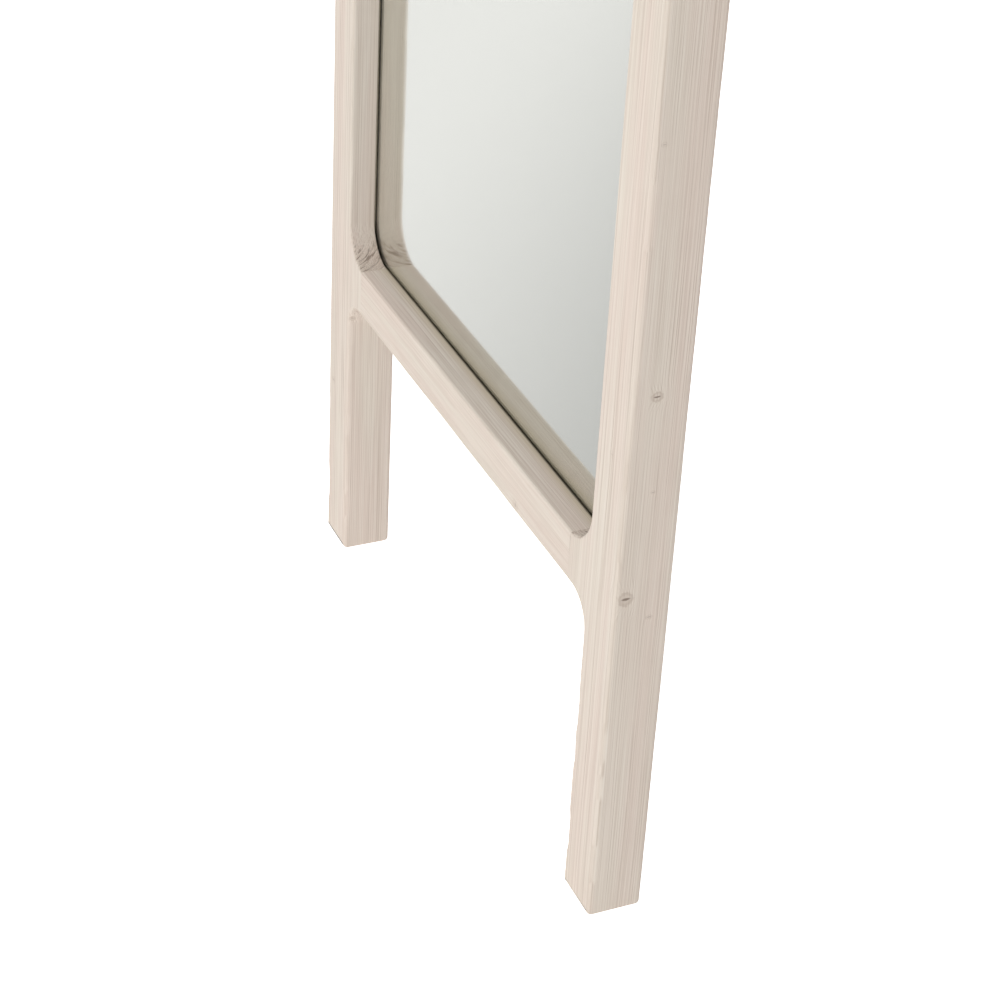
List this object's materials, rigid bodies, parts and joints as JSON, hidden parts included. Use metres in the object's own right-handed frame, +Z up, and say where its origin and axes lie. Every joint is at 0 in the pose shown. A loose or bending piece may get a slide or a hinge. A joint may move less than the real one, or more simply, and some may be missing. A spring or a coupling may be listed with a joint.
{
  "type": "leaning floor mirror",
  "caption": "Full-length floor mirror: a pale pine frame standing on its two posts, glass set back in a rebate, boarded back, hinged hanging rings behind.",
  "frame": {"origin": "on the floor, at the middle of the mirror's width and of its whole depth, wall bumpers included", "axes": "+X to the viewer's right along the rails, -Y out of the glass to the viewer, +Z up along the posts"},
  "size_m": [0.7, 0.06, 1.8],
  "materials": {
    "wood_frame": "pale limed pine, matt, fine straight grain",
    "dowel_wood": "planed beech, fluted look left plain",
    "tape": "thin brown foam glazing tape, matt",
    "mirror": "silvered float glass, polished, very slightly green",
    "film": "grey adhesive safety film",
    "foam": "white foam sheet, matt",
    "hardboard": "brown hardboard, smooth, matt",
    "batten_wood": "plain planed pine",
    "zinc_steel": "zinc-plated steel, satin",
    "rubber": "black rubber, matt"
  },
  "bodies": {
    "frame": {"left_post": "wood_frame", "right_post": "wood_frame", "top_rail": "wood_frame", "bottom_rail": "wood_frame", "corner_dowels": "dowel_wood", "glazing_tape": "tape", "mirror_glass": "mirror", "safety_film": "film", "setting_blocks": "rubber", "location_blocks": "rubber", "foam_sheet": "foam", "back_board": "hardboard", "left_batten": "batten_wood", "right_batten": "batten_wood", "top_batten": "batten_wood", "bottom_batten": "batten_wood", "batten_screws": "zinc_steel", "left_hanger_plate": "zinc_steel", "right_hanger_plate": "zinc_steel", "hanger_screws": "zinc_steel", "left_wall_bumper": "rubber", "right_wall_bumper": "rubber", "left_foot_pad": "rubber", "right_foot_pad": "rubber"},
    "left_ring": {"left_d_ring": "zinc_steel"},
    "right_ring": {"right_d_ring": "zinc_steel"}
  },
  "joints": [
    {"name": "left_ring_swing", "type": "hinge", "parent": "frame", "child": "left_ring", "pos_m": [-0.322, 0.02605, 1.54], "axis": [1, 0, 0], "range_deg": [0, 180]},
    {"name": "right_ring_swing", "type": "hinge", "parent": "frame", "child": "right_ring", "pos_m": [0.322, 0.02605, 1.54], "axis": [1, 0, 0], "range_deg": [0, 180]}
  ]
}
